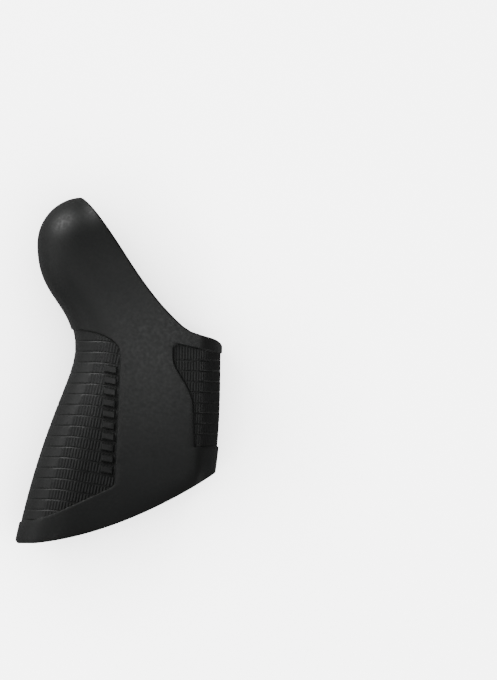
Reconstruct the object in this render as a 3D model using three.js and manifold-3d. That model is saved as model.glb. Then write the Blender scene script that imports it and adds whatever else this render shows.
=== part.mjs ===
// Rubber hood of a bicycle brake lever, moulded in one piece.
//
// The hood is a bent sleeve with a tall horn. It lies on one flank, so X runs from the palm side
// to the finger side, Y runs from the handlebar end to the top of the horn, and Z is the width.
// The sleeve is a loft: its side view is filled between four edge curves, and each row across it
// carries a section with a round palm ridge, a flat flank and a round underside. The lower half
// mirrors the upper half in the plane z = 0. Sizes are in millimetres.

import * as THREE from 'three';
import { mergeVertices } from 'three/addons/utils/BufferGeometryUtils.js';
import Module from 'manifold-3d';

const wasm = await Module();
wasm.setup();

// Side view, measured from the neck, the hollow between the palm ridge and the horn.
const PALM_LENGTH = 70.1; // neck to the end of the tail, along Y
const TAIL_REACH = 21.3; // end of the tail beyond the neck, towards the palm
const HEEL_ROUND = [6.8, 1.1]; // rounded heel of the tail, across and down
const HORN_RISE = 37.2; // neck to the fullest point of the horn's back
const HORN_BULGE = 13.3; // horn's back beyond the neck
const CROWN_RISE = 17.5; // fullest point of the back to the top of the horn
const CROWN_DEPTH = 16.3; // horn's back to the tip of the front rim
const RIM_BOW = [17.5, 23.4]; // tip of the front rim to the middle of its slope
const GRIP_DEPTH = 40.9; // neck to the bend above the lip
const LIP_HEIGHT = 6.7; // bend above the lip, above the neck
const LIP_LENGTH = 13.3; // bend to the front of the underside
const LIP_DROP = 5.9;
const UNDERSIDE_LENGTH = 46.8; // lip to the handlebar end, along Y
const UNDERSIDE_TAPER = 2.5; // how far the underside draws in towards the handlebar end

// Section.
const BODY_WIDTH = 37;
const HORN_WIDTH = 32;
const REAR_NARROWING = 1.2; // on each side, at the handlebar end
const REAR_NARROWING_ROWS = 0.13; // share of the rows that it fades over
const BODY_SHOULDER = 18; // depth of the round palm ridge
const HORN_SHOULDER = 16;
const SHOULDER_FULLNESS = 2.2; // 2 is an ellipse, more is fuller
const UNDERSIDE_SHOULDER = 9;
const WALL = 2.1;
const RIM_WALL = 1.4;
const RIM_FADE = 0.12; // share of the rows over which the wall thins to the rim

// Grip panels, sunk into both flanks. The palm panel wraps over the ridge and the finger panel
// wraps round the underside. Outlines are measured from the neck.
const PANEL_SINK = 0.55;
const PALM_PANEL_TOP = 6.5; // above the neck, on the ridge
const PALM_PANEL_DEPTH = 17.5; // neck to the panel's straight edge
const PALM_PANEL_HEAD = [15.4, 9.5]; // round top corner, across and down to the straight edge
const PALM_PANEL_LENGTH = 48.6; // neck to the foot of the straight edge
const PALM_PANEL_EDGE_LEAN = 1.9; // the straight edge leans towards the palm
const PALM_PANEL_FOOT = [1.9, 2.8]; // round bottom corner
const PALM_PANEL_TAIL = [-19.1, -63.8]; // where its slanting edge meets the ridge
const FINGER_PANEL_TOP = 1.4; // round upper corner above the neck
const FINGER_PANEL_START = 36.3; // neck to that corner's side
const FINGER_PANEL_CORNER = 2;
const FINGER_PANEL_SIDE = 3.4; // straight stretch below the corner
const FINGER_PANEL_FALL = 0.22; // slope of its top edge towards the underside
const FINGER_PANEL_NARROWING = [7.2, 17.1]; // from that stretch to the waist, across and down
const FINGER_PANEL_BOTTOM = 36.4; // below the neck
const FINGER_PANEL_EDGE_LEAN = 0.4; // from the waist to the bottom

// Cross grooves in the panels. A palm groove leaves the ridge level, then bends to a slope.
const GROOVE_PITCH = 3.82;
const GROOVE_WIDTH = 0.7;
const GROOVE_DEPTH = 0.4;
const GROOVE_LEVEL_RUN = 8;
const GROOVE_BEND = 40; // radius
const GROOVE_SLOPE = 0.18;
const GROOVE_OVERRUN = 3; // past the panel, so that the cut runs out through its edges
const PALM_FIRST_GROOVE = 2.2; // above the neck
const PALM_GROOVES = 18;
const FINGER_FIRST_GROOVE = 4.8; // below the neck
const FINGER_GROOVES = 8;

// Plain raised lugs along the straight edge of the palm panel, on the outboard flank only.
const LUG_SIZE = [4.4, 2.3];
const LUG_GAP = 1.2; // lug to the panel's straight edge
const FIRST_LUG = 2; // the first lug stands below this groove
const LUG_COUNT = 10;

// Nubs inside that key into the lever body.
const NUB_DIAMETER = 5;
const NUB_HEIGHT = 1.2;
const NUB_PLACE = [30, -20]; // from the neck
const NUB_ROOT = 0.6; // how far a nub reaches into the wall

// Mesh.
const ROWS = 38;
const LINING_ROWS = 18;
const PANEL_ROWS = 14;
const RIDGE_STEPS = 7;
const FLANK_STEPS = 5;
const UNDERSIDE_STEPS = 4;
const BEND_STEPS = 4; // on each bent edge of a panel or groove
const RIDGE_SAMPLES = 160;
const ROW_SAMPLES = 60;
const THROUGH = 60; // reach of a cutter past either flank

const RUBBER_COLOUR = 0x1d1e1e;
const RUBBER_ROUGHNESS = 0.62;

const { clamp, lerp, smoothstep } = THREE.MathUtils;
const at = (x, y) => new THREE.Vector2(x, y);

// Edge curves of the side view. A stretch leaves and arrives along handles given as shares of
// its span across and along.
function stretch(from, to, leave, arrive) {
  const span = to.clone().sub(from);
  const first = at(from.x + leave[0] * span.x, from.y + leave[1] * span.y);
  const last = at(to.x - arrive[0] * span.x, to.y - arrive[1] * span.y);
  return new THREE.CubicBezierCurve(from, first, last, to);
}

function joined(...curves) {
  const path = new THREE.CurvePath();
  curves.forEach((curve) => path.add(curve));
  return path;
}

const neck = at(0, 0);
const tail = at(-TAIL_REACH, -PALM_LENGTH);
const heel = at(tail.x + HEEL_ROUND[0], tail.y - HEEL_ROUND[1]);
const hornBack = at(-HORN_BULGE, HORN_RISE);
const hornTip = at(hornBack.x + CROWN_DEPTH, hornBack.y + CROWN_RISE);
const rimMiddle = at(hornTip.x + RIM_BOW[0], hornTip.y - RIM_BOW[1]);
const lipBend = at(GRIP_DEPTH, LIP_HEIGHT);
const lip = at(lipBend.x + LIP_LENGTH, lipBend.y - LIP_DROP);
const rearCorner = at(lip.x - UNDERSIDE_TAPER, lip.y - UNDERSIDE_LENGTH);

const palmLine = stretch(tail, neck, [0.478, 0.654], [0, 0.16]);
const ridge = joined(
  palmLine,
  stretch(neck, hornBack, [0, 0.431], [0, 0.522]),
  stretch(hornBack, hornTip, [0, 0.687], [0.39, 0]),
);
const frontRim = joined(
  stretch(hornTip, rimMiddle, [0.29, 0.15], [0.21, 0.24]),
  stretch(rimMiddle, lipBend, [0.295, 0.372], [0.429, 0.309]),
  stretch(lipBend, lip, [0.392, 0.541], [0.117, 0.578]),
);
const underside = stretch(rearCorner, lip, [1.016, 0.362], [0.096, 0.359]);
const rearRim = joined(
  stretch(tail, heel, [-0.06, 0.9], [0.6, 0]),
  stretch(heel, rearCorner, [0.368, 0.085], [0.275, 0.462]),
);

// Place in the side view: across runs from the ridge to the underside, along from the handlebar
// end to the front rim, both from 0 to 1.
function sideView(across, along) {
  const left = ridge.getPointAt(along);
  const right = underside.getPointAt(along);
  const low = rearRim.getPointAt(across);
  const high = frontRim.getPointAt(across);
  const blend = (key) => {
    const sides = lerp(left[key], right[key], across) + lerp(low[key], high[key], along);
    const lowCorners = lerp(tail[key], rearCorner[key], across);
    const highCorners = lerp(hornTip[key], lip[key], across);
    return sides - lerp(lowCorners, highCorners, along);
  };
  return at(blend('x'), blend('y'));
}

function halfWidth(place, along) {
  const hornShare = smoothstep(place.y, LIP_HEIGHT, HORN_RISE);
  const rearShare = Math.max(0, 1 - along / REAR_NARROWING_ROWS);
  return lerp(BODY_WIDTH, HORN_WIDTH, hornShare) / 2 - REAR_NARROWING * rearShare ** 2;
}

// Distance from a place in the side view to the ridge, as a share of the round ridge's depth.
const ridgePoints = ridge.getSpacedPoints(RIDGE_SAMPLES);
function shareOfShoulder(place) {
  const distance = Math.min(...ridgePoints.map((point) => point.distanceTo(place)));
  const hornShare = smoothstep(place.y, 0, HORN_RISE);
  return distance / lerp(BODY_SHOULDER, HORN_SHOULDER, hornShare);
}

// Each row's shares are measured once, because rows are used again for every offset.
const rowShares = new Map();
function sharesOf(along) {
  if (!rowShares.has(along)) {
    const shares = [];
    for (let i = 0; i <= ROW_SAMPLES; i++) {
      shares.push(shareOfShoulder(sideView(i / ROW_SAMPLES, along)));
    }
    rowShares.set(along, shares);
  }
  return rowShares.get(along);
}

// How far across a row its share of the shoulder reaches a value.
function acrossAt(share, along) {
  const shares = sharesOf(along);
  const after = Math.max(1, shares.findIndex((value) => value >= share));
  const [low, high] = [shares[after - 1], shares[after]];
  return (after - 1 + clamp((share - low) / (high - low), 0, 1)) / ROW_SAMPLES;
}

// Point of the outer skin. Turn runs 0 to 1 round the ridge, 1 to 2 along the upper flank, 2 to 3
// round the underside, and 3 to 6 back along the lower half.
function skinPoint(turn, along) {
  const wrapped = (turn + 6) % 6;
  const upper = wrapped <= 3;
  const step = upper ? wrapped : 6 - wrapped;
  const quarter = Math.PI / 2;
  const reach = ridge.getPointAt(along).distanceTo(underside.getPointAt(along));
  const bend = UNDERSIDE_SHOULDER / reach;
  let across = lerp(acrossAt(1, along), 1 - bend, step - 1);
  let height = 1;
  if (step < 1) {
    const power = 2 / SHOULDER_FULLNESS;
    across = acrossAt(1 - Math.cos(step * quarter) ** power, along);
    height = Math.sin(step * quarter) ** power;
  }
  if (step > 2) {
    const angle = (3 - step) * quarter;
    across = 1 - bend * (1 - Math.cos(angle));
    height = Math.sin(angle);
  }
  const place = sideView(across, along);
  const z = halfWidth(place, along) * height;
  return new THREE.Vector3(place.x, place.y, upper ? z : -z);
}

function skinNormal(turn, along) {
  const nudge = 0.01;
  const low = Math.max(0, along - nudge);
  const high = Math.min(1, along + nudge);
  const round = skinPoint(turn + nudge, along).sub(skinPoint(turn - nudge, along));
  const up = skinPoint(turn, high).sub(skinPoint(turn, low));
  return round.cross(up).normalize();
}

const turns = [];
for (const [start, steps] of [[0, RIDGE_STEPS], [1, FLANK_STEPS], [2, UNDERSIDE_STEPS]]) {
  for (let i = 0; i < steps; i++) turns.push(start + i / steps);
}
const fullTurns = [...turns, 3, ...turns.slice(1).reverse().map((turn) => 6 - turn)];

// Grid of points on the skin, sunk along its normals by a depth that may change along the rows.
function skinGrid(rows, sinkAt) {
  const grid = [];
  for (let row = 0; row <= rows; row++) {
    const along = row / rows;
    grid.push(fullTurns.map((turn) => {
      const inward = skinNormal(turn, along).multiplyScalar(-sinkAt(along));
      return skinPoint(turn, along).add(inward);
    }));
  }
  return grid;
}

function meshOf(points, faces) {
  const positions = points.flatMap((point) => [point.x, point.y, point.z]);
  const geometry = new THREE.BufferGeometry();
  geometry.setAttribute('position', new THREE.Float32BufferAttribute(positions, 3));
  geometry.setIndex(faces.flat());
  return geometry;
}

// Two triangles for each cell between neighbouring rings of points.
function bridge(faces, first, second, count) {
  for (let i = 0; i < count; i++) {
    const next = (i + 1) % count;
    faces.push([first + i, first + next, second + next]);
    faces.push([first + i, second + next, second + i]);
  }
}

// Closed solid of everything inside the skin sunk by a depth, closed across both rims.
function core(sink) {
  const grid = skinGrid(PANEL_ROWS, () => sink);
  const count = fullTurns.length;
  const faces = [];
  for (let row = 0; row < PANEL_ROWS; row++) bridge(faces, row * count, (row + 1) * count, count);
  const half = count / 2;
  for (const [base, flip] of [[0, true], [PANEL_ROWS * count, false]]) {
    for (let i = 0; i < half; i++) {
      const quad = [base + i, base + i + 1, base + count - i - 1, base + ((count - i) % count)];
      const corners = flip ? quad.reverse() : quad;
      faces.push([corners[0], corners[1], corners[2]], [corners[0], corners[2], corners[3]]);
    }
  }
  return meshOf(grid.flat(), faces.filter((face) => new Set(face).size === 3));
}

// The sleeve: outer skin, lining and the two rims between them.
function sleeve() {
  const lining = (along) => {
    const fromRim = Math.min(along, 1 - along);
    return lerp(RIM_WALL, WALL, smoothstep(fromRim, 0, RIM_FADE));
  };
  const outer = skinGrid(ROWS, () => 0);
  const inner = skinGrid(LINING_ROWS, lining);
  const rings = [...outer, ...inner.reverse()];
  const count = fullTurns.length;
  const faces = [];
  rings.forEach((ring, i) => bridge(faces, i * count, ((i + 1) % rings.length) * count, count));
  return meshOf(rings.flat(), faces);
}

function solid(geometry) {
  const bare = geometry.clone();
  bare.deleteAttribute('normal');
  bare.deleteAttribute('uv');
  const merged = mergeVertices(bare, 1e-4);
  return new wasm.Manifold(new wasm.Mesh({
    numProp: 3,
    vertProperties: new Float32Array(merged.attributes.position.array),
    triVerts: new Uint32Array(merged.index.array),
  }));
}

// Cutter of a side view shape, right through the hood or through its outboard half only.
function prism(shape, outboardOnly = false) {
  const depth = outboardOnly ? THROUGH : 2 * THROUGH;
  const settings = { depth, bevelEnabled: false };
  const geometry = new THREE.ExtrudeGeometry(shape, settings);
  geometry.translate(0, 0, outboardOnly ? 0 : -THROUGH);
  return solid(geometry);
}

// Shape through corner points and curves, in turn.
function shapeThrough(...runs) {
  const pointsOf = (run) => (run instanceof THREE.Curve ? run.getPoints(BEND_STEPS) : [run]);
  return new THREE.Shape(runs.flatMap(pointsOf));
}

function palmPanel() {
  const clear = TAIL_REACH + HORN_BULGE;
  const headEnd = at(PALM_PANEL_DEPTH, PALM_PANEL_TOP - PALM_PANEL_HEAD[1]);
  const headStart = at(headEnd.x - PALM_PANEL_HEAD[0], PALM_PANEL_TOP);
  const edgeFoot = at(palmEdge(-PALM_PANEL_LENGTH), -PALM_PANEL_LENGTH);
  const slantStart = at(edgeFoot.x - PALM_PANEL_FOOT[0], edgeFoot.y - PALM_PANEL_FOOT[1]);
  const slantEnd = at(...PALM_PANEL_TAIL);
  return shapeThrough(
    at(-clear, PALM_PANEL_TOP),
    stretch(headStart, headEnd, [0.45, 0.07], [0, 0.68]),
    stretch(edgeFoot, slantStart, [0, 0.6], [0.5, 0.1]),
    stretch(slantStart, slantEnd, [0.33, 0.39], [0.34, 0.12]),
    at(-clear, slantEnd.y),
  );
}

function fingerPanel() {
  const clear = GRIP_DEPTH + LIP_LENGTH + GROOVE_OVERRUN;
  const top = at(FINGER_PANEL_START + FINGER_PANEL_CORNER, FINGER_PANEL_TOP);
  const side = at(FINGER_PANEL_START, FINGER_PANEL_TOP - FINGER_PANEL_CORNER);
  const sideEnd = at(side.x, side.y - FINGER_PANEL_SIDE);
  const waist = at(side.x + FINGER_PANEL_NARROWING[0], sideEnd.y - FINGER_PANEL_NARROWING[1]);
  return shapeThrough(
    at(clear, top.y - FINGER_PANEL_FALL * (clear - top.x)),
    stretch(top, side, [0.6, 0], [0, 0.6]),
    stretch(sideEnd, waist, [0, 0.26], [0.04, 0.39]),
    at(waist.x + FINGER_PANEL_EDGE_LEAN, -FINGER_PANEL_BOTTOM),
    at(clear, -FINGER_PANEL_BOTTOM),
  );
}

// X of the palm ridge and of the palm panel's straight edge at a height.
function ridgeAt(y) {
  const points = palmLine.getPoints(60);
  const after = points.findIndex((point) => point.y > y);
  if (after < 1) return neck.x;
  const [a, b] = [points[after - 1], points[after]];
  return lerp(a.x, b.x, (y - a.y) / (b.y - a.y));
}

function palmEdge(y) {
  return PALM_PANEL_DEPTH - PALM_PANEL_EDGE_LEAN * Math.max(0, -y / PALM_PANEL_LENGTH);
}

// How far a palm groove falls over a run from the ridge.
function grooveFall(run) {
  const past = Math.max(0, run - GROOVE_LEVEL_RUN);
  const bendRun = GROOVE_BEND * GROOVE_SLOPE;
  return past < bendRun ? past ** 2 / (2 * GROOVE_BEND) : GROOVE_SLOPE * (past - bendRun / 2);
}

function grooveStrip(line) {
  const side = (offset) => line.map((point) => at(point.x, point.y + offset));
  return new THREE.Shape([...side(-GROOVE_WIDTH / 2), ...side(GROOVE_WIDTH / 2).reverse()]);
}

function palmGroove(level) {
  const start = ridgeAt(level);
  const bendRun = GROOVE_BEND * GROOVE_SLOPE;
  const runs = [-2 * GROOVE_OVERRUN];
  for (let i = 0; i <= BEND_STEPS; i++) runs.push(GROOVE_LEVEL_RUN + (i / BEND_STEPS) * bendRun);
  runs.push(PALM_PANEL_DEPTH + GROOVE_OVERRUN - start);
  return grooveStrip(runs.map((run) => at(start + run, level - grooveFall(run))));
}

function fingerGroove(level) {
  const ends = [FINGER_PANEL_START - GROOVE_OVERRUN, GRIP_DEPTH + LIP_LENGTH + GROOVE_OVERRUN];
  return grooveStrip(ends.map((x) => at(x, level)));
}

const palmLevel = (index) => PALM_FIRST_GROOVE - index * GROOVE_PITCH;

// A lug stands on the land between two grooves and follows their fall.
function lug(index) {
  const [length, height] = LUG_SIZE;
  const level = palmLevel(FIRST_LUG + index) - GROOVE_PITCH / 2;
  const edge = palmEdge(level) - LUG_GAP;
  const corner = (x, side) => {
    const middle = level - grooveFall(x - ridgeAt(level));
    return at(x, middle + (side * height) / 2);
  };
  const inner = edge - length;
  return shapeThrough(corner(inner, -1), corner(edge, -1), corner(edge, 1), corner(inner, 1));
}

function unionOf(parts) {
  return parts.reduce((sum, part) => sum.add(part));
}

// Nub on the inside of one flank: side is 1 for the outboard flank and -1 for the other.
function nub(side) {
  const face = BODY_WIDTH / 2 - WALL - NUB_HEIGHT;
  const height = NUB_HEIGHT + NUB_ROOT;
  const geometry = new THREE.CylinderGeometry(NUB_DIAMETER / 2, NUB_DIAMETER / 2, height, 20);
  geometry.rotateX(Math.PI / 2);
  geometry.translate(NUB_PLACE[0], NUB_PLACE[1], side * (face + height / 2));
  return solid(geometry);
}

function hoodSolid() {
  const palm = prism(palmPanel());
  const finger = prism(fingerPanel());
  const lugs = unionOf(Array.from({ length: LUG_COUNT }, (_, i) => prism(lug(i), true)));
  const panels = palm.subtract(lugs).add(finger);
  const palmGrooves = Array.from({ length: PALM_GROOVES }, (_, i) => prism(palmGroove(palmLevel(i))));
  const fingerGrooves = Array.from({ length: FINGER_GROOVES }, (_, i) => (
    prism(fingerGroove(-FINGER_FIRST_GROOVE - i * GROOVE_PITCH))));
  const grooves = unionOf([...palmGrooves, ...fingerGrooves]).intersect(panels);
  const sunk = panels.subtract(solid(core(PANEL_SINK)));
  const cut = grooves.subtract(solid(core(PANEL_SINK + GROOVE_DEPTH)));
  return solid(sleeve()).add(nub(1)).add(nub(-1)).subtract(sunk).subtract(cut);
}

function geometryOf(manifold) {
  const mesh = manifold.getMesh();
  const geometry = new THREE.BufferGeometry();
  const positions = new Float32Array(mesh.vertProperties);
  geometry.setAttribute('position', new THREE.BufferAttribute(positions, 3));
  geometry.setIndex(new THREE.BufferAttribute(new Uint32Array(mesh.triVerts), 1));
  return geometry;
}

const rubber = new THREE.MeshStandardMaterial({
  name: 'rubber',
  color: RUBBER_COLOUR,
  roughness: RUBBER_ROUGHNESS,
  metalness: 0,
});
const hood = new THREE.Mesh(geometryOf(hoodSolid()), rubber);
hood.name = 'hood_shell';

// The hood lies on its inboard flank, with its box centred on the origin in X and Y.
const box = new THREE.Box3().setFromObject(hood);
const middle = box.getCenter(new THREE.Vector3());
hood.position.set(-middle.x, -middle.y, -box.min.z);

const model = new THREE.Group();
model.add(hood);

export default model;
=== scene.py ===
"""Looks of a bicycle brake lever hood, a sleeve of black moulded rubber that lies on one flank.

The hood is rebuilt at full detail over its CAD solid: the same loft, with rounded rims, grip
panels sunk into both flanks, cross grooves, fine upright ticks and a row of plain lugs. The skin
starts as a coarse grid of triangles. Each feature line is then cut into it, so that every edge of
the relief lies on edges of the mesh, and the vertices are sunk along the skin's normals.
Sizes are in millimetres until a mesh is made.
"""

import math

import bmesh
import bpy
import numpy as np
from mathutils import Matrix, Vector


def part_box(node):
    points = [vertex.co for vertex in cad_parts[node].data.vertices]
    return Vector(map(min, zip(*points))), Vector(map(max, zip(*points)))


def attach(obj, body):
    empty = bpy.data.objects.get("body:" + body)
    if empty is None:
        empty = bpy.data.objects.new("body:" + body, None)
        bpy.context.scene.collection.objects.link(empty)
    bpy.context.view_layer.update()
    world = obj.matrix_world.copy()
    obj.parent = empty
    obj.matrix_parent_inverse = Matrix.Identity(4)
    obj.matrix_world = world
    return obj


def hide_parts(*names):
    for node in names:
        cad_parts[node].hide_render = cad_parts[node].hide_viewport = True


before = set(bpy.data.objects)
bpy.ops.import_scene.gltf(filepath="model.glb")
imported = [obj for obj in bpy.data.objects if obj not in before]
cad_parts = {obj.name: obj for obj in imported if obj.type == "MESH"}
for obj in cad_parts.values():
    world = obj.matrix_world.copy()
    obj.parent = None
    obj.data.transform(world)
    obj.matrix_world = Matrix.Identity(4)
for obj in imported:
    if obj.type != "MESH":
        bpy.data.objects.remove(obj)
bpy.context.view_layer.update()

MM = 0.001

# Side view, measured from the neck, the hollow between the palm ridge and the horn.
PALM_LENGTH = 70.1
TAIL_REACH = 21.3
HEEL_ROUND = (6.8, 1.1)
HORN_RISE = 37.2
HORN_BULGE = 13.3
CROWN_RISE = 17.5
CROWN_DEPTH = 16.3
RIM_BOW = (17.5, 23.4)
GRIP_DEPTH = 40.9
LIP_HEIGHT = 6.7
LIP_LENGTH = 13.3
LIP_DROP = 5.9
UNDERSIDE_LENGTH = 46.8
UNDERSIDE_TAPER = 2.5

# Section.
BODY_WIDTH = 37.0
HORN_WIDTH = 32.0
REAR_NARROWING = 1.2
REAR_NARROWING_ROWS = 0.13
BODY_SHOULDER = 18.0
HORN_SHOULDER = 16.0
SHOULDER_FULLNESS = 2.2
UNDERSIDE_SHOULDER = 9.0
SHOULDER_SEARCH = 1.2  # shoulder share at which the search for the round ridge's end stops
WALL = 2.1
RIM_WALL = 1.4
RIM_FADE = 0.12
RIM_ROUND = 0.45

# Grip panels.
PANEL_SINK = 0.55
PALM_PANEL_TOP = 6.5
PALM_PANEL_DEPTH = 17.5
PALM_PANEL_HEAD = (15.4, 9.5)
PALM_PANEL_LENGTH = 48.6
PALM_PANEL_EDGE_LEAN = 1.9
PALM_PANEL_FOOT = (1.9, 2.8)
PALM_PANEL_TAIL = (-19.1, -63.8)
FINGER_PANEL_TOP = 1.4
FINGER_PANEL_START = 36.3
FINGER_PANEL_CORNER = 2.0
FINGER_PANEL_SIDE = 3.4
FINGER_PANEL_FALL = 0.22
FINGER_PANEL_NARROWING = (7.2, 17.1)
FINGER_PANEL_BOTTOM = 36.4
FINGER_PANEL_EDGE_LEAN = 0.4
PAST_UNDERSIDE = 10.0

# Cross grooves, and the fine ticks that stand upright between them.
GROOVE_PITCH = 3.82
GROOVE_DEPTH = 0.28
WRAPPED_GROOVE = 0.3
FULL_GROOVE_FACING = 0.9
GROOVE_LEVEL_RUN = 8.0
GROOVE_BEND = 40.0
GROOVE_SLOPE = 0.18
PALM_FIRST_GROOVE = 2.2
PALM_GROOVES = 18
FINGER_FIRST_GROOVE = 4.8
FINGER_GROOVES = 8
PALM_TICK_PITCH = 1.13
PALM_TICK_LEAN = 0.2
FINGER_TICK_PITCH = 1.04
TICK_DEPTH = 0.2
TICK_START = (3.5, 10.0)

# Plain lugs.
LUG_SIZE = (4.4, 2.3)
LUG_GAP = 1.2
FIRST_LUG = 2
LUG_COUNT = 10

# Nubs inside.
NUB_DIAMETER = 5.0
NUB_HEIGHT = 1.2
NUB_PLACE = (30.0, -20.0)

# Profiles of the relief: distance from an edge or a centre line, and the share of the depth there.
PANEL_STEP = ((-0.2, 0.0), (0.0, 0.12), (0.25, 0.85), (0.45, 1.0))
GROOVE_SECTION = ((0.0, 1.0), (0.2, 0.75), (0.42, 0.0))
LUG_STEP = ((-0.15, 0.0), (0.12, 0.85), (0.3, 1.0))
FINE_START = ((0.25, 0.0), (0.45, 1.0))
NUB_STEP = ((-0.25, 0.0), (0.0, 0.2), (0.15, 0.85), (0.35, 1.0))

# Resolution.
CURVE_SAMPLES = 400
RIDGE_BATCH = 40
OUTLINE_SAMPLES = 16
TABLE_TURNS = 120  # for each third of a half section
TABLE_ROWS = 480
SHARE_SAMPLES = 120
RIDGE_STEPS = 16
FLANK_STEPS = 14
UNDERSIDE_STEPS = 10
ROWS = 72
LINING_ROWS = 44
LEVEL_PASSES = 3
CUT_PASSES = 3
ARC_SAMPLES = 60
RIM_ARC = (22.5, 45, 67.5, 90)  # degrees round a rim's edge
RIM_NUDGE = 0.01  # share of the length, over which the skin's direction at a rim is taken
SNAP = 0.02
WELD_REACH = 0.002
SHORTEST_EDGE = 0.0001
SHARP_ANGLE = math.radians(28)


def at(x, y):
    return np.array([float(x), float(y)])


def smoothstep(value, low, high):
    share = np.clip((value - low) / (high - low), 0.0, 1.0)
    return share * share * (3.0 - 2.0 * share)


def lerp(a, b, share):
    return a + (b - a) * share


# Edge curves of the side view.

def stretch(start, end, leave, arrive, count=CURVE_SAMPLES):
    """Points of a cubic curve whose handles are shares of its span across and along."""
    span = end - start
    first = start + np.array(leave) * span
    last = end - np.array(arrive) * span
    t = np.linspace(0.0, 1.0, count)[:, None]
    return (
        (1 - t) ** 3 * start
        + 3 * (1 - t) ** 2 * t * first
        + 3 * (1 - t) * t**2 * last
        + t**3 * end
    )


def joined(*runs):
    """One path through the runs, as its points and the share of its length at each."""
    points = np.concatenate([runs[0]] + [run[1:] for run in runs[1:]])
    steps = np.linalg.norm(np.diff(points, axis=0), axis=1)
    shares = np.concatenate([[0.0], np.cumsum(steps)])
    return points, shares / shares[-1]


def on_path(path, share):
    points, shares = path
    x = np.interp(share, shares, points[:, 0])
    y = np.interp(share, shares, points[:, 1])
    return np.stack([x, y], axis=-1)


neck = at(0, 0)
tail = at(-TAIL_REACH, -PALM_LENGTH)
heel = at(tail[0] + HEEL_ROUND[0], tail[1] - HEEL_ROUND[1])
horn_back = at(-HORN_BULGE, HORN_RISE)
horn_tip = at(horn_back[0] + CROWN_DEPTH, horn_back[1] + CROWN_RISE)
rim_middle = at(horn_tip[0] + RIM_BOW[0], horn_tip[1] - RIM_BOW[1])
lip_bend = at(GRIP_DEPTH, LIP_HEIGHT)
lip = at(lip_bend[0] + LIP_LENGTH, lip_bend[1] - LIP_DROP)
rear_corner = at(lip[0] - UNDERSIDE_TAPER, lip[1] - UNDERSIDE_LENGTH)

palm_line = stretch(tail, neck, (0.478, 0.654), (0, 0.16))
ridge = joined(
    palm_line,
    stretch(neck, horn_back, (0, 0.431), (0, 0.522)),
    stretch(horn_back, horn_tip, (0, 0.687), (0.39, 0)),
)
front_rim = joined(
    stretch(horn_tip, rim_middle, (0.29, 0.15), (0.21, 0.24)),
    stretch(rim_middle, lip_bend, (0.295, 0.372), (0.429, 0.309)),
    stretch(lip_bend, lip, (0.392, 0.541), (0.117, 0.578)),
)
underside = joined(stretch(rear_corner, lip, (1.016, 0.362), (0.096, 0.359)))
rear_rim = joined(
    stretch(tail, heel, (-0.06, 0.9), (0.6, 0)),
    stretch(heel, rear_corner, (0.368, 0.085), (0.275, 0.462)),
)


def side_view(across, along):
    """Place in the side view. Across runs ridge to underside, along runs handlebar end to rim."""
    across = np.asarray(across, float)[..., None]
    along = np.asarray(along, float)[..., None]
    sides = lerp(on_path(ridge, along[..., 0]), on_path(underside, along[..., 0]), across)
    ends = lerp(on_path(rear_rim, across[..., 0]), on_path(front_rim, across[..., 0]), along)
    corners = lerp(lerp(tail, rear_corner, across), lerp(horn_tip, lip, across), along)
    return sides + ends - corners


# Skin: a table of points and normals over one half of the section.

def half_width(place, along):
    horn_share = smoothstep(place[..., 1], LIP_HEIGHT, HORN_RISE)
    rear_share = np.clip(1 - along / REAR_NARROWING_ROWS, 0, None)
    return lerp(BODY_WIDTH, HORN_WIDTH, horn_share) / 2 - REAR_NARROWING * rear_share**2


def shoulder_share(place):
    """Distance to the ridge as a share of the round ridge's depth."""
    ridge_points = on_path(ridge, np.linspace(0, 1, CURVE_SAMPLES))
    distance = np.full(place.shape[:-1], np.inf)
    for start in range(0, CURVE_SAMPLES, RIDGE_BATCH):
        part = ridge_points[start:start + RIDGE_BATCH]
        gaps = np.linalg.norm(place[..., None, :] - part, axis=-1)
        distance = np.minimum(distance, gaps.min(axis=-1))
    horn_share = smoothstep(place[..., 1], 0, HORN_RISE)
    return distance / lerp(BODY_SHOULDER, HORN_SHOULDER, horn_share)


def skin_table():
    """Points and outward normals of the upper half. Turn 0 is the ridge, 3 the underside."""
    alongs = np.linspace(0, 1, TABLE_ROWS + 1)
    steps = np.linspace(0, 1, TABLE_TURNS + 1)
    angles = steps * math.pi / 2
    power = 2 / SHOULDER_FULLNESS
    samples = np.linspace(0, 1, SHARE_SAMPLES + 1)
    points = np.zeros((3 * TABLE_TURNS + 1, TABLE_ROWS + 1, 3))
    for column, along in enumerate(alongs):
        shares = shoulder_share(side_view(samples, np.full_like(samples, along)))
        top = int(np.argmax(shares >= SHOULDER_SEARCH)) or SHARE_SAMPLES
        shares = np.maximum.accumulate(shares[:top + 1])
        reach = np.linalg.norm(on_path(ridge, along) - on_path(underside, along))
        bend = UNDERSIDE_SHOULDER / reach
        round_ridge = np.interp(1 - np.cos(angles) ** power, shares, samples[:top + 1])
        flank = lerp(round_ridge[-1], 1 - bend, steps[1:])
        round_underside = 1 - bend * (1 - np.sin(angles[1:]))
        across = np.concatenate([round_ridge, flank, round_underside])
        round_height = np.sin(angles) ** power
        height = np.concatenate([round_height, np.ones(TABLE_TURNS), np.cos(angles[1:])])
        place = side_view(across, np.full_like(across, along))
        points[:, column, :2] = place
        points[:, column, 2] = half_width(place, along) * height
    mirror = np.array([1, 1, -1])
    padded = np.concatenate([points[1:2] * mirror, points, points[-2:-1] * mirror])
    round_way = padded[2:] - padded[:-2]
    along_way = np.gradient(points, axis=1)
    normals = np.cross(round_way, along_way)
    normals /= np.linalg.norm(normals, axis=-1, keepdims=True)
    return points, normals


table_points, table_normals = skin_table()


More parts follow.
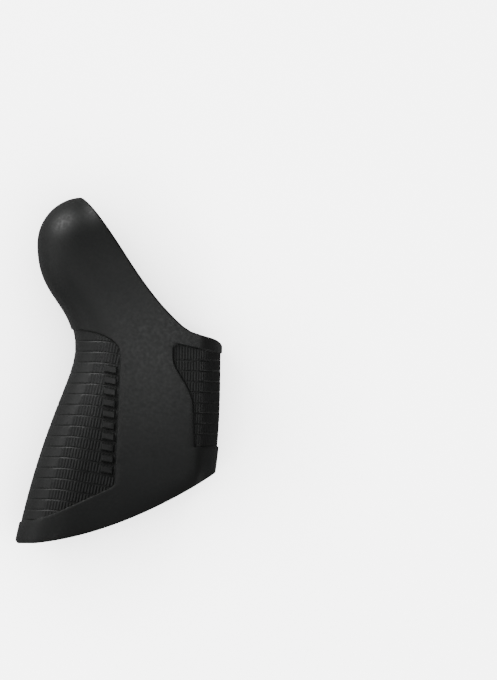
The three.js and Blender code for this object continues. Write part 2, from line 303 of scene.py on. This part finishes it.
def from_table(table, turn, along):
    """Values of a table between its rows and columns."""
    i = np.clip(turn * TABLE_TURNS, 0, table.shape[0] - 1.001)
    j = np.clip(along * TABLE_ROWS, 0, table.shape[1] - 1.001)
    i0 = i.astype(int)
    j0 = j.astype(int)
    fi = (i - i0)[:, None]
    fj = (j - j0)[:, None]
    low = lerp(table[i0, j0], table[i0 + 1, j0], fi)
    high = lerp(table[i0, j0 + 1], table[i0 + 1, j0 + 1], fi)
    return lerp(low, high, fj)


# Outlines of the panels and lugs, and how far inside them a place lies.

def bend(start, end, leave, arrive):
    return stretch(start, end, leave, arrive, OUTLINE_SAMPLES)


def outline_through(*runs):
    """Outline through corner points and bends, in turn. A point that repeats is dropped."""
    points = np.concatenate([np.reshape(run, (-1, 2)) for run in runs])
    return points[np.any(np.abs(points - np.roll(points, 1, axis=0)) > 1e-9, axis=1)]


def palm_outline():
    clear = TAIL_REACH + HORN_BULGE
    head_end = at(PALM_PANEL_DEPTH, PALM_PANEL_TOP - PALM_PANEL_HEAD[1])
    head_start = at(head_end[0] - PALM_PANEL_HEAD[0], PALM_PANEL_TOP)
    edge_foot = at(palm_edge_x(-PALM_PANEL_LENGTH), -PALM_PANEL_LENGTH)
    slant_start = edge_foot - np.array(PALM_PANEL_FOOT)
    slant_end = at(*PALM_PANEL_TAIL)
    return outline_through(
        at(-clear, PALM_PANEL_TOP),
        bend(head_start, head_end, (0.45, 0.07), (0, 0.68)),
        bend(edge_foot, slant_start, (0, 0.6), (0.5, 0.1)),
        bend(slant_start, slant_end, (0.33, 0.39), (0.34, 0.12)),
        at(-clear, slant_end[1]),
    )


def finger_outline():
    clear = GRIP_DEPTH + LIP_LENGTH + PAST_UNDERSIDE
    top = at(FINGER_PANEL_START + FINGER_PANEL_CORNER, FINGER_PANEL_TOP)
    side = at(FINGER_PANEL_START, FINGER_PANEL_TOP - FINGER_PANEL_CORNER)
    side_end = at(side[0], side[1] - FINGER_PANEL_SIDE)
    waist = at(side[0] + FINGER_PANEL_NARROWING[0], side_end[1] - FINGER_PANEL_NARROWING[1])
    return outline_through(
        at(clear, top[1] - FINGER_PANEL_FALL * (clear - top[0])),
        bend(top, side, (0.6, 0), (0, 0.6)),
        bend(side_end, waist, (0, 0.26), (0.04, 0.39)),
        at(waist[0] + FINGER_PANEL_EDGE_LEAN, -FINGER_PANEL_BOTTOM),
        at(clear, -FINGER_PANEL_BOTTOM),
    )


def inside_distance(place, outline):
    """Distance to a closed outline, positive inside it."""
    nearest = np.full(len(place), np.inf)
    inside = np.zeros(len(place), bool)
    for a, b in zip(outline, np.roll(outline, -1, axis=0)):
        span = b - a
        share = np.clip(((place - a) @ span) / (span @ span), 0, 1)
        gap = place - (a + share[:, None] * span)
        nearest = np.minimum(nearest, np.hypot(gap[:, 0], gap[:, 1]))
        crosses = (a[1] > place[:, 1]) != (b[1] > place[:, 1])
        if span[1]:
            inside ^= crosses & (place[:, 0] < a[0] + span[0] * (place[:, 1] - a[1]) / span[1])
    return np.where(inside, nearest, -nearest)


def ridge_x(level):
    return np.interp(level, palm_line[:, 1], palm_line[:, 0])


def groove_fall(run):
    """How far a palm groove falls over a run from the ridge."""
    past = np.maximum(run - GROOVE_LEVEL_RUN, 0)
    bend_run = GROOVE_BEND * GROOVE_SLOPE
    bent = past**2 / (2 * GROOVE_BEND)
    return np.where(past < bend_run, bent, GROOVE_SLOPE * (past - bend_run / 2))


def palm_level(place):
    """Height at which the cross line through a place leaves the palm ridge."""
    level = place[:, 1].copy()
    for _ in range(LEVEL_PASSES):
        level = place[:, 1] + groove_fall(place[:, 0] - ridge_x(level))
    return level


def palm_edge_x(y):
    return PALM_PANEL_DEPTH - PALM_PANEL_EDGE_LEAN * np.maximum(-y / PALM_PANEL_LENGTH, 0)


def underside_x(y):
    points = underside[0]
    return np.interp(y, points[:, 1], points[:, 0])


def palm_cross(place):
    """Place across the palm panel, measured square to the sloping part of its grooves."""
    return place[:, 0] - PALM_TICK_LEAN * place[:, 1]


def finger_cross(place):
    """Distance round the skin from the finger panel's straight edge."""
    angles = np.linspace(0, math.pi / 2, ARC_SAMPLES)
    across = UNDERSIDE_SHOULDER * np.sin(angles)
    down = BODY_WIDTH / 2 * (1 - np.cos(angles))
    arc = np.concatenate([[0], np.cumsum(np.hypot(np.diff(across), np.diff(down)))])
    bend_start = underside_x(place[:, 1]) - UNDERSIDE_SHOULDER
    past = place[:, 0] - bend_start
    return np.minimum(past, 0) + np.interp(past, across, arc)


def lug_levels():
    return [PALM_FIRST_GROOVE - (FIRST_LUG + i + 0.5) * GROOVE_PITCH for i in range(LUG_COUNT)]


def inside_lug_ends(place):
    """Distance inside the two ends of the lugs, which stand in one row."""
    middle = palm_edge_x(place[:, 1]) - LUG_GAP - LUG_SIZE[0] / 2
    return LUG_SIZE[0] / 2 - np.abs(place[:, 0] - middle)


def inside_lug(place):
    from_middle = np.abs(palm_level(place)[:, None] - np.array(lug_levels())).min(1)
    return np.minimum(inside_lug_ends(place), LUG_SIZE[1] / 2 - from_middle)


def nub_distance(place):
    return NUB_DIAMETER / 2 - np.hypot(place[:, 0] - NUB_PLACE[0], place[:, 1] - NUB_PLACE[1])


def palm_panel_distance(place):
    return inside_distance(place, palm_outline())


def finger_panel_distance(place):
    return inside_distance(place, finger_outline())


def groove_levels(panel):
    if panel == "palm":
        return [PALM_FIRST_GROOVE - i * GROOVE_PITCH for i in range(PALM_GROOVES)]
    return [-FINGER_FIRST_GROOVE - i * GROOVE_PITCH for i in range(FINGER_GROOVES)]


def from_grooves(levels, panel):
    return np.abs(levels[:, None] - np.array(groove_levels(panel))).min(1)


PANEL_FIELDS = {
    "palm": palm_panel_distance,
    "palm_level": palm_level,
    "palm_land": lambda place: from_grooves(palm_level(place), "palm"),
    "palm_run": lambda place: place[:, 0] - ridge_x(palm_level(place)),
    "palm_cross": palm_cross,
    "finger": finger_panel_distance,
    "finger_level": lambda place: place[:, 1],
    "finger_land": lambda place: from_grooves(place[:, 1], "finger"),
    "finger_cross": finger_cross,
    "lug_ends": inside_lug_ends,
    "lug": inside_lug,
}


# Sheet of triangles over the half section, which feature lines are cut into.

class Sheet:
    def __init__(self, turns, rows, fields):
        turn, along = np.meshgrid(turns, np.linspace(0, 1, rows + 1), indexing="ij")
        self.turn = turn.ravel()
        self.along = along.ravel()
        self.fields = fields
        self.values = {name: field(self.places()) for name, field in fields.items()}
        grid = np.arange(len(self.turn)).reshape(len(turns), rows + 1)
        a, b = grid[:-1, :-1].ravel(), grid[1:, :-1].ravel()
        c, d = grid[1:, 1:].ravel(), grid[:-1, 1:].ravel()
        self.faces = np.concatenate([np.stack([a, b, c], 1), np.stack([a, c, d], 1)])
        self.grid = grid

    def places(self):
        return from_table(table_points, self.turn, self.along)[:, :2]

    def cut(self, name, level, chosen):
        """Cuts the chosen triangles where a field passes a level, and keeps the sheet whole."""
        gap = self.values[name] - level
        gap[np.abs(gap) < SNAP] = 0
        count = len(self.turn)
        active = self.faces[chosen & (np.ptp(np.sign(gap)[self.faces], axis=1) == 2)]
        if not len(active):
            return
        pairs = np.sort(np.concatenate([active[:, [0, 1]], active[:, [1, 2]], active[:, [2, 0]]]), 1)
        pairs = pairs[gap[pairs[:, 0]] * gap[pairs[:, 1]] < 0]
        keys = np.unique(pairs[:, 0] * count + pairs[:, 1])
        first, second = keys // count, keys % count
        self.add_between(first, second, name, level, gap)

        def middle(a, b):
            key = np.minimum(a, b) * count + np.maximum(a, b)
            found = np.clip(np.searchsorted(keys, key), 0, len(keys) - 1)
            return np.where(keys[found] == key, count + found, -1)

        faces = self.faces
        mids = np.stack([middle(faces[:, i], faces[:, (i + 1) % 3]) for i in range(3)], 1)
        hits = (mids >= 0).sum(1)
        kept = [faces[hits == 0]]
        for i in range(3):
            a, b, c = faces[:, i], faces[:, (i + 1) % 3], faces[:, (i + 2) % 3]
            one = (hits == 1) & (mids[:, i] >= 0)
            m = mids[one, i]
            kept.append(np.stack([a[one], m, c[one]], 1))
            kept.append(np.stack([m, b[one], c[one]], 1))
            two = (hits == 2) & (mids[:, i] < 0)
            m = mids[two, (i + 1) % 3]
            n = mids[two, (i + 2) % 3]
            kept.append(np.stack([c[two], n, m], 1))
            kept.append(np.stack([a[two], b[two], m], 1))
            kept.append(np.stack([a[two], m, n], 1))
        self.faces = np.concatenate(kept)

    def add_between(self, first, second, name, level, gap):
        """New vertices on edges, moved along them until the field is at the level."""
        low, high = np.zeros(len(first)), np.ones(len(first))
        low_gap, high_gap = gap[first], gap[second]
        for _ in range(CUT_PASSES):
            share = low + (high - low) * low_gap / (low_gap - high_gap)
            turn = lerp(self.turn[first], self.turn[second], share)
            along = lerp(self.along[first], self.along[second], share)
            place = from_table(table_points, turn, along)[:, :2]
            here = self.fields[name](place) - level
            same = here * low_gap > 0
            low = np.where(same, share, low)
            low_gap = np.where(same, here, low_gap)
            high = np.where(same, high, share)
            high_gap = np.where(same, high_gap, np.where(here == 0, -1e-9 * low_gap, here))
        self.turn = np.concatenate([self.turn, turn])
        self.along = np.concatenate([self.along, along])
        for key, field in self.fields.items():
            self.values[key] = np.concatenate([self.values[key], field(place)])

    def everywhere(self):
        return np.ones(len(self.faces), bool)

    def touches(self, name, low):
        """Triangles with a corner above a level of a field."""
        return self.values[name][self.faces].max(1) > low

    def within(self, name, low, high=np.inf):
        """Triangles that lie between two levels of a field."""
        values = self.values[name][self.faces]
        return (values.min(1) > low - 2 * SNAP) & (values.max(1) < high + 2 * SNAP)

    def lands(self, panel):
        """Triangles of a panel's floor that lie between its grooves."""
        floor = self.within(panel, PANEL_STEP[-1][0])
        return floor & self.within(f"{panel}_land", GROOVE_SECTION[-1][0])


def half_turns():
    ridge_part = np.linspace(0, 1, RIDGE_STEPS + 1)
    flank_part = np.linspace(1, 2, FLANK_STEPS + 1)
    underside_part = np.linspace(2, 3, UNDERSIDE_STEPS + 1)
    return np.concatenate([ridge_part, flank_part[1:], underside_part[1:]])


def tick_share(sheet, panel):
    """Ticks come in over a stretch beside the palm ridge."""
    if panel == "palm":
        return smoothstep(sheet.values["palm_run"], *TICK_START)
    return np.ones(len(sheet.turn))


PANELS = ("palm", "finger")
TICK_PITCHES = {"palm": PALM_TICK_PITCH, "finger": FINGER_TICK_PITCH}


def cut_relief(sheet, with_lugs):
    for panel in PANELS:
        for level, _ in PANEL_STEP:
            sheet.cut(panel, level, sheet.everywhere())
        inner = PANEL_STEP[-1][0]
        for middle in groove_levels(panel):
            for offset, _ in GROOVE_SECTION:
                for level in {middle - offset, middle + offset}:
                    sheet.cut(f"{panel}_level", level, sheet.within(panel, inner))
    if with_lugs:
        cut_lugs(sheet)
    for panel in PANELS:
        cut_ticks(sheet, panel, with_lugs)


def cut_lugs(sheet):
    """Cuts the long sides of each lug along the grooves, then its ends between them."""
    half = LUG_SIZE[1] / 2
    reach = LUG_STEP[0][0]
    for middle in lug_levels():
        for inset, _ in LUG_STEP:
            for level in (middle - half + inset, middle + half - inset):
                sheet.cut("palm_level", level, sheet.touches("lug_ends", reach))
        for inset, _ in LUG_STEP:
            between = sheet.within("palm_level", middle - half + reach, middle + half - reach)
            sheet.cut("lug_ends", inset, between)


def cut_ticks(sheet, panel, with_lugs):
    """Cuts each tick's foot and crest into the lands between the grooves."""
    pitch = TICK_PITCHES[panel]
    spans = sheet.values[f"{panel}_cross"][np.unique(sheet.faces[sheet.lands(panel)])]
    for index in range(math.ceil(spans.min() / pitch), math.floor(spans.max() / pitch) + 1):
        for offset in (0, pitch / 2):
            chosen = sheet.lands(panel)
            if panel == "palm":
                chosen &= sheet.within("palm_run", TICK_START[0])
            if with_lugs:
                chosen &= sheet.within("lug", -np.inf, LUG_STEP[-1][0])
            sheet.cut(f"{panel}_cross", index * pitch + offset, chosen)


def profile(values, steps):
    return np.interp(values, [step[0] for step in steps], [step[1] for step in steps])


def relief_depth(sheet, with_lugs):
    """How far each vertex of the outer skin is sunk."""
    depth = np.zeros(len(sheet.turn))
    for panel in PANELS:
        inside = sheet.values[panel]
        sink = PANEL_SINK * profile(inside, PANEL_STEP)
        groove = GROOVE_DEPTH * profile(sheet.values[f"{panel}_land"], GROOVE_SECTION)
        groove = groove * wrap_share(sheet)
        phase = sheet.values[f"{panel}_cross"] / TICK_PITCHES[panel]
        from_valley = np.abs(phase - np.round(phase))
        tick = TICK_DEPTH * (1 - 2 * from_valley) * tick_share(sheet, panel)
        depth += sink + np.maximum(groove, tick) * profile(inside, FINE_START)
    if with_lugs:
        depth *= 1 - profile(sheet.values["lug"], LUG_STEP)
    return depth


def wrap_share(sheet):
    """Grooves grow shallow where the skin turns over the ridge and under the hood."""
    facing = from_table(table_normals, sheet.turn, sheet.along)[:, 2]
    return lerp(WRAPPED_GROOVE, 1.0, smoothstep(facing, 0.0, FULL_GROOVE_FACING))


def wall_at(along):
    return lerp(RIM_WALL, WALL, smoothstep(np.minimum(along, 1 - along), 0, RIM_FADE))


def outer_half(upper):
    """Skin of one half: its points, faces and the grid indexes of the coarse sheet."""
    sheet = Sheet(half_turns(), ROWS, PANEL_FIELDS)
    cut_relief(sheet, with_lugs=upper)
    points = from_table(table_points, sheet.turn, sheet.along)
    normals = from_table(table_normals, sheet.turn, sheet.along)
    points = points - normals * relief_depth(sheet, upper)[:, None]
    for row, way in ((0, 1), (ROWS, -1)):
        ring = sheet.grid[:, row]
        points[ring] += rim_inward(sheet.turn[ring], row / ROWS) * RIM_ROUND
    return points, sheet.faces, sheet.grid


def rim_inward(turn, along):
    """Unit direction on the skin from a rim into the hood."""
    inner = abs(along - RIM_NUDGE)
    start = from_table(table_points, turn, np.full_like(turn, along))
    end = from_table(table_points, turn, np.full_like(turn, inner))
    way = end - start
    return way / np.linalg.norm(way, axis=1, keepdims=True)


def lining_half():
    sheet = Sheet(half_turns(), LINING_ROWS, {"nub": nub_distance})
    for level, _ in NUB_STEP:
        sheet.cut("nub", level, sheet.everywhere())
    points = from_table(table_points, sheet.turn, sheet.along)
    normals = from_table(table_normals, sheet.turn, sheet.along)
    depth = wall_at(sheet.along) + NUB_HEIGHT * profile(sheet.values["nub"], NUB_STEP)
    points = points - normals * depth[:, None]
    for row in (0, LINING_ROWS):
        ring = sheet.grid[:, row]
        points[ring] += rim_inward(sheet.turn[ring], row / LINING_ROWS) * RIM_ROUND
    return points, sheet.faces[:, ::-1], sheet.grid


def rim_rings(along):
    """Rings of points round the edge of a rim, from the skin to the lining, for one half."""
    turn = half_turns()
    alongs = np.full_like(turn, along)
    corner = from_table(table_points, turn, alongs)
    normal = from_table(table_normals, turn, alongs)
    inward = rim_inward(turn, along)
    rings = []
    for start, spin in ((0.0, 1), (RIM_WALL, -1)):
        arc = []
        for angle in np.radians(RIM_ARC):
            down = start + spin * RIM_ROUND * (1 - math.cos(angle))
            back = RIM_ROUND * (1 - math.sin(angle))
            arc.append(corner - normal * down + inward * back)
        rings.extend(arc if spin > 0 else arc[::-1])
    return rings


def hood_mesh():
    """All points and faces of the hood, both halves, in millimetres from the neck."""
    points = []
    faces = []
    count = 0

    def add(new_points, new_faces, mirrored):
        nonlocal count
        placed = new_points * np.array([1, 1, -1 if mirrored else 1])
        points.append(placed)
        faces.append((new_faces[:, ::-1] if mirrored else new_faces) + count)
        count += len(new_points)

    inner_points, inner_faces, inner_grid = lining_half()
    for mirrored in (False, True):
        outer_points, outer_faces, outer_grid = outer_half(upper=not mirrored)
        add(outer_points, outer_faces, mirrored)
        add(inner_points, inner_faces, mirrored)
        for along, outer_row, inner_row in ((0.0, 0, 0), (1.0, ROWS, LINING_ROWS)):
            rings = [outer_points[outer_grid[:, outer_row]]]
            rings += rim_rings(along)
            rings += [inner_points[inner_grid[:, inner_row]]]
            add(*strip(rings, flip=along == 1.0), mirrored)
    return np.concatenate(points), np.concatenate(faces)


def strip(rings, flip):
    """Triangles between rings of points."""
    wide = len(rings[0])
    grid = np.arange(len(rings) * wide).reshape(len(rings), wide)
    a, b = grid[:-1, :-1].ravel(), grid[:-1, 1:].ravel()
    c, d = grid[1:, 1:].ravel(), grid[1:, :-1].ravel()
    faces = np.concatenate([np.stack([a, c, b], 1), np.stack([a, d, c], 1)])
    return np.concatenate(rings), faces[:, ::-1] if flip else faces


def place_in_frame(points):
    """Moves the hood from the neck's frame to the part's frame and into metres."""
    low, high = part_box("hood_shell")
    middle = (np.array(low) + np.array(high)) / 2
    centre = (table_points.reshape(-1, 3).min(0) + table_points.reshape(-1, 3).max(0)) / 2
    centre[2] = 0
    return (points - centre) * MM + middle


def make_hood():
    points, faces = hood_mesh()
    points = place_in_frame(points)
    mesh = bpy.data.meshes.new("hood_skin")
    mesh.from_pydata(points.tolist(), [], faces.tolist())
    hood = bpy.data.objects.new("hood_skin", mesh)
    bpy.context.scene.collection.objects.link(hood)
    weld(mesh)
    mesh.shade_smooth()
    mesh.set_sharp_from_angle(angle=SHARP_ANGLE)
    return hood


def weld(mesh):
    """Joins the halves, the lining and the rims where their vertices meet."""
    work = bmesh.new()
    work.from_mesh(mesh)
    bmesh.ops.remove_doubles(work, verts=work.verts, dist=WELD_REACH * MM)
    bmesh.ops.dissolve_degenerate(work, edges=work.edges, dist=SHORTEST_EDGE * MM)
    work.to_mesh(mesh)
    open_edges = sum(1 for edge in work.edges if len(edge.link_faces) != 2)
    print("hood triangles", len(work.faces), "open edges", open_edges)
    work.free()


# Rubber.

RUBBER_DARK = (0.0064, 0.0070, 0.0068, 1)
RUBBER_PALE = (0.0094, 0.0101, 0.0097, 1)
RUBBER_ROUGHNESS = (0.48, 0.61)
RUBBER_SPECULAR = 0.36
CLOUD_SCALE = 60.0
MOTTLE_SCALE = 900.0
GRAIN_SCALE = 3200.0
GRAIN_STRENGTH = 0.4
GRAIN_HEIGHT = 0.06
NOISE_RANGE = (0.3, 0.7)


def link(tree, source, target):
    tree.links.new(source, target)


def noise(tree, scale, detail, roughness, vector):
    node = tree.nodes.new("ShaderNodeTexNoise")
    node.inputs["Scale"].default_value = scale
    node.inputs["Detail"].default_value = detail
    node.inputs["Roughness"].default_value = roughness
    link(tree, vector, node.inputs["Vector"])
    return node.outputs["Fac"]


def spread(tree, value, low, high):
    """Maps the usual range of a noise to the range from low to high."""
    node = tree.nodes.new("ShaderNodeMapRange")
    node.inputs["From Min"].default_value = NOISE_RANGE[0]
    node.inputs["From Max"].default_value = NOISE_RANGE[1]
    node.inputs["To Min"].default_value = low
    node.inputs["To Max"].default_value = high
    link(tree, value, node.inputs["Value"])
    return node.outputs["Result"]


def rubber_material():
    """Matte black rubber, a little uneven in colour and gloss, with a fine moulded grain."""
    material = bpy.data.materials.new("moulded_rubber")
    material.use_nodes = True
    tree = material.node_tree
    shader = tree.nodes["Principled BSDF"]
    place = tree.nodes.new("ShaderNodeTexCoord").outputs["Object"]
    cloud = noise(tree, CLOUD_SCALE, 3.0, 0.5, place)
    mottle = noise(tree, MOTTLE_SCALE, 2.0, 0.5, place)
    grain = noise(tree, GRAIN_SCALE, 3.0, 0.6, place)
    colour = tree.nodes.new("ShaderNodeMix")
    colour.data_type = "RGBA"
    colour.inputs["A"].default_value = RUBBER_DARK
    colour.inputs["B"].default_value = RUBBER_PALE
    link(tree, spread(tree, cloud, 0.0, 1.0), colour.inputs["Factor"])
    link(tree, colour.outputs["Result"], shader.inputs["Base Color"])
    link(tree, spread(tree, mottle, *RUBBER_ROUGHNESS), shader.inputs["Roughness"])
    bump = tree.nodes.new("ShaderNodeBump")
    bump.inputs["Strength"].default_value = GRAIN_STRENGTH
    bump.inputs["Distance"].default_value = GRAIN_HEIGHT * MM
    link(tree, grain, bump.inputs["Height"])
    link(tree, bump.outputs["Normal"], shader.inputs["Normal"])
    shader.inputs["Specular IOR Level"].default_value = RUBBER_SPECULAR
    return material


# Floor, light and camera, in metres.

FLOOR_SIZE = 4.0
FLOOR_COLOUR = (0.5, 0.5, 0.5, 1)
FLOOR_ROUGHNESS = 0.9
# Floor glow seen by the camera; near the hood, ambient occlusion darkens it into a painted contact
# shadow over the reach below.
FLOOR_GLOW_AND_PAINTED_SHADOW = (6.0, 6.0, 6.0, 1)
PAINTED_SHADOW_REACH = 0.06
WORLD_STRENGTH = 0.15


def make_floor():
    """A pale floor that looks nearly white to the camera and throws little light back. Its glow,
    seen only by camera rays, is darkened by ambient occlusion near the hood, which paints a soft
    contact shadow onto it.
    """
    half = FLOOR_SIZE / 2
    mesh = bpy.data.meshes.new("floor")
    corners = [(-half, -half, 0), (half, -half, 0), (half, half, 0), (-half, half, 0)]
    mesh.from_pydata(corners, [], [(0, 1, 2, 3)])
    floor = bpy.data.objects.new("floor", mesh)
    bpy.context.scene.collection.objects.link(floor)
    material = bpy.data.materials.new("pale_floor")
    material.use_nodes = True
    tree = material.node_tree
    shader = tree.nodes["Principled BSDF"]
    shader.inputs["Base Color"].default_value = FLOOR_COLOUR
    shader.inputs["Roughness"].default_value = FLOOR_ROUGHNESS
    shader.inputs["Specular IOR Level"].default_value = 0.0
    # Painted contact shadow: ambient occlusion darkens the floor's camera-only glow near the hood.
    shade = tree.nodes.new("ShaderNodeAmbientOcclusion")
    shade.inputs["Color"].default_value = FLOOR_GLOW_AND_PAINTED_SHADOW
    shade.inputs["Distance"].default_value = PAINTED_SHADOW_REACH
    link(tree, shade.outputs["Color"], shader.inputs["Emission Color"])
    seen = tree.nodes.new("ShaderNodeLightPath").outputs["Is Camera Ray"]
    link(tree, seen, shader.inputs["Emission Strength"])
    mesh.materials.append(material)
    return floor


def aim(light, place, target):
    light.location = place
    light.rotation_euler = (Vector(target) - Vector(place)).to_track_quat("-Z", "Y").to_euler()
    bpy.context.scene.collection.objects.link(light)


def soft_box(name, place, target, size, power):
    data = bpy.data.lights.new(name, "AREA")
    data.shape = "RECTANGLE"
    data.size, data.size_y = size
    data.energy = power
    aim(bpy.data.objects.new(name, data), place, target)


def pool_of_light(name, place, target, cone, radius, power):
    """Round soft-edged pool that is brightest on its target."""
    data = bpy.data.lights.new(name, "SPOT")
    data.spot_size = math.radians(cone)
    data.spot_blend = 1.0
    data.shadow_soft_size = radius
    data.energy = power
    aim(bpy.data.objects.new(name, data), place, target)


def light_scene():
    soft_box(
        "key",
        place=(-0.5, 0.55, 0.3),
        target=(-0.02, 0.03, 0.02),
        size=(0.3, 0.3),
        power=6.8,
    )
    soft_box(
        "front_fill",
        place=(0.55, -0.7, 0.12),
        target=(0, 0, 0.02),
        size=(0.9, 0.22),
        power=3.0,
    )
    soft_box(
        "back_fill",
        place=(-0.8, -0.1, 0.2),
        target=(0, 0, 0.02),
        size=(0.7, 0.3),
        power=1.0,
    )
    pool_of_light(
        "palm_pool",
        place=(-0.25, -0.25, 0.8),
        target=(0, -0.01, 0.037),
        cone=12,
        radius=0.05,
        power=5.6,
    )
    pool_of_light(
        "flank_pool",
        place=(0.02, 0.05, 0.5),
        target=(0.012, 0.01, 0.037),
        cone=10,
        radius=0.03,
        power=3.4,
    )
    world = bpy.data.worlds.new("studio")
    world.use_nodes = True
    background = world.node_tree.nodes["Background"]
    background.inputs["Color"].default_value = (1, 1, 1, 1)
    background.inputs["Strength"].default_value = WORLD_STRENGTH
    bpy.context.scene.world = world


IMAGE_SIZE = (497, 680)
HOOD_CENTRE_PX = (118.8, 369.8)
MM_PER_PX = 0.365
CAMERA_HEIGHT = 2.5
SENSOR = 36.0
CLIP_END = 20.0


def make_camera():
    """Looks straight down, with the hood left of and below the middle of the picture."""
    low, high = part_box("hood_shell")
    middle = (low + high) / 2
    right = (IMAGE_SIZE[0] / 2 - HOOD_CENTRE_PX[0]) * MM_PER_PX * MM
    up = (HOOD_CENTRE_PX[1] - IMAGE_SIZE[1] / 2) * MM_PER_PX * MM
    data = bpy.data.cameras.new("camera")
    data.sensor_fit = "VERTICAL"
    data.sensor_height = SENSOR
    view_height = IMAGE_SIZE[1] * MM_PER_PX * MM
    data.lens = SENSOR * (CAMERA_HEIGHT - middle.z) / view_height
    data.clip_end = CLIP_END
    camera = bpy.data.objects.new("camera", data)
    camera.location = (middle.x + right, middle.y + up, CAMERA_HEIGHT)
    bpy.context.scene.collection.objects.link(camera)
    bpy.context.scene.camera = camera


make_camera()
make_floor()
light_scene()
hood = make_hood()
hood.data.materials.append(rubber_material())
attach(hood, "root")
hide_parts("hood_shell")
